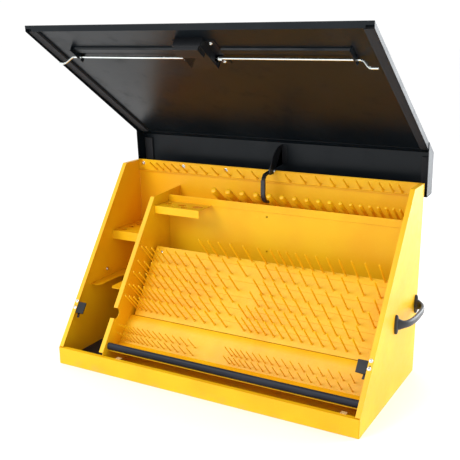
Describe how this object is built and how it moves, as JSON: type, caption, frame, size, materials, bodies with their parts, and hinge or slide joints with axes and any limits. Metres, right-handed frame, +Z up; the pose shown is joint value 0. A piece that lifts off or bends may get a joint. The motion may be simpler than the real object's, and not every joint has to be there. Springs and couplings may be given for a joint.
{
  "type": "slant-front portable tool box",
  "caption": "Wide slant-front steel tool box with its lid raised, pegboards and racks of storage pins inside, a rod latch, and a carrying handle on each side.",
  "frame": {"origin": "on the floor under the middle of the body's footprint", "axes": "+X to the right of someone facing the slanted front, +Y to the back, +Z up"},
  "size_m": [0.992, 0.5216, 0.9442],
  "materials": {
    "yellow_paint": "fine textured powder coat, satin",
    "black_paint": "satin black powder coat",
    "black_fitting": "black coated steel fittings",
    "black_moulding": "black moulded plastic, light sheen",
    "rubber": "smooth dark rubber",
    "foam": "closed-cell foam strip",
    "zinc": "bright zinc plate",
    "tan_plastic": "tan plastic"
  },
  "bodies": {
    "cabinet": {"back_rail": "yellow_paint", "back_wall": "yellow_paint", "base_pan": "yellow_paint", "floor_mat": "rubber", "front_bumper": "rubber", "handle_left": "black_moulding", "handle_right": "black_moulding", "hinge_body_leaf": "zinc", "hinge_pin": "zinc", "hole_rack": "yellow_paint", "lip_tab_left": "tan_plastic", "lip_tab_right": "tan_plastic", "lower_board": "yellow_paint", "main_pegboard": "yellow_paint", "partition": "yellow_paint", "pin_row_1_left": "yellow_paint", "pin_row_1_right": "yellow_paint", "pin_row_2_left": "yellow_paint", "pin_row_2_right": "yellow_paint", "pin_row_3_left": "yellow_paint", "pin_row_3_right": "yellow_paint", "pin_row_4_left": "yellow_paint", "pin_row_4_right": "yellow_paint", "pin_row_5_left": "yellow_paint", "pin_row_5_right": "yellow_paint", "pin_row_6_left": "yellow_paint", "pin_row_6_right": "yellow_paint", "rear_bulkhead": "yellow_paint", "screwdriver_rack": "yellow_paint", "side_panel_left": "yellow_paint", "side_panel_right": "yellow_paint", "slot_rack": "yellow_paint", "socket_pegs": "yellow_paint", "striker_left": "black_fitting", "striker_right": "black_fitting", "tray_pins_1_left": "yellow_paint", "tray_pins_1_right": "yellow_paint", "tray_pins_2_left": "yellow_paint", "tray_pins_2_right": "yellow_paint", "upper_shelf": "yellow_paint"},
    "lid": {"lid_main_panel": "black_paint", "lid_rear_panel": "black_paint", "stiffener_left": "black_paint", "stiffener_right": "black_paint", "latch_housing": "black_fitting", "latch_dish": "black_fitting", "stay_plate": "black_fitting", "lid_seal_left": "foam", "lid_seal_right": "foam", "top_seal_left": "foam", "top_seal_right": "foam", "hinge_lid_leaf": "zinc", "stay_rivet": "zinc"},
    "latch_rod_left": {"latch_rod_left": "zinc"},
    "latch_rod_right": {"latch_rod_right": "zinc"},
    "latch_paddle": {"latch_paddle": "black_fitting"},
    "latch_cam": {"latch_cam": "zinc"},
    "lock_cylinder": {"lock_cylinder": "zinc"},
    "stay_lever": {"stay_lever": "black_fitting"}
  },
  "joints": [
    {"name": "lid_hinge", "type": "hinge", "parent": "cabinet", "child": "lid", "pos_m": [0, 0.2323, 0.5086], "axis": [1, 0, 0], "range_deg": [0, 87.1]},
    {"name": "paddle_lift", "type": "hinge", "parent": "lid", "child": "latch_paddle", "pos_m": [0, -0.16328, 0.88432], "axis": [-1, 0, 0], "range_deg": [0, 35], "stiffness_Nm_per_rad": 1.2, "springref_deg": -11.46},
    {"name": "cam_turn", "type": "hinge", "parent": "lid", "child": "latch_cam", "pos_m": [0, -0.18393, 0.8929], "axis": [0, 0.5428, 0.8398], "range_deg": [0, 45.5]},
    {"name": "rod_left_draw", "type": "slide", "parent": "lid", "child": "latch_rod_left", "axis": [1, 0, 0], "range_m": [0, 0.0256]},
    {"name": "rod_right_draw", "type": "slide", "parent": "lid", "child": "latch_rod_right", "axis": [-1, 0, 0], "range_m": [0, 0.0256]},
    {"name": "lock_turn", "type": "hinge", "parent": "lid", "child": "lock_cylinder", "pos_m": [0, -0.15621, 0.87499], "axis": [0, 0.5428, 0.8398], "range_deg": [0, 90]},
    {"name": "stay_swing", "type": "hinge", "parent": "lid", "child": "stay_lever", "pos_m": [0, 0.209, 0.534], "axis": [1, 0, 0], "range_deg": [-174.3, 0]}
  ],
  "couplings": [
    {"joint": "cam_turn", "follows": "paddle_lift", "ratio": 1.2857},
    {"joint": "rod_left_draw", "follows": "paddle_lift", "m_per_rad": 0.0409},
    {"joint": "rod_right_draw", "follows": "paddle_lift", "m_per_rad": 0.0409},
    {"joint": "stay_swing", "follows": "lid_hinge", "ratio": -2}
  ]
}
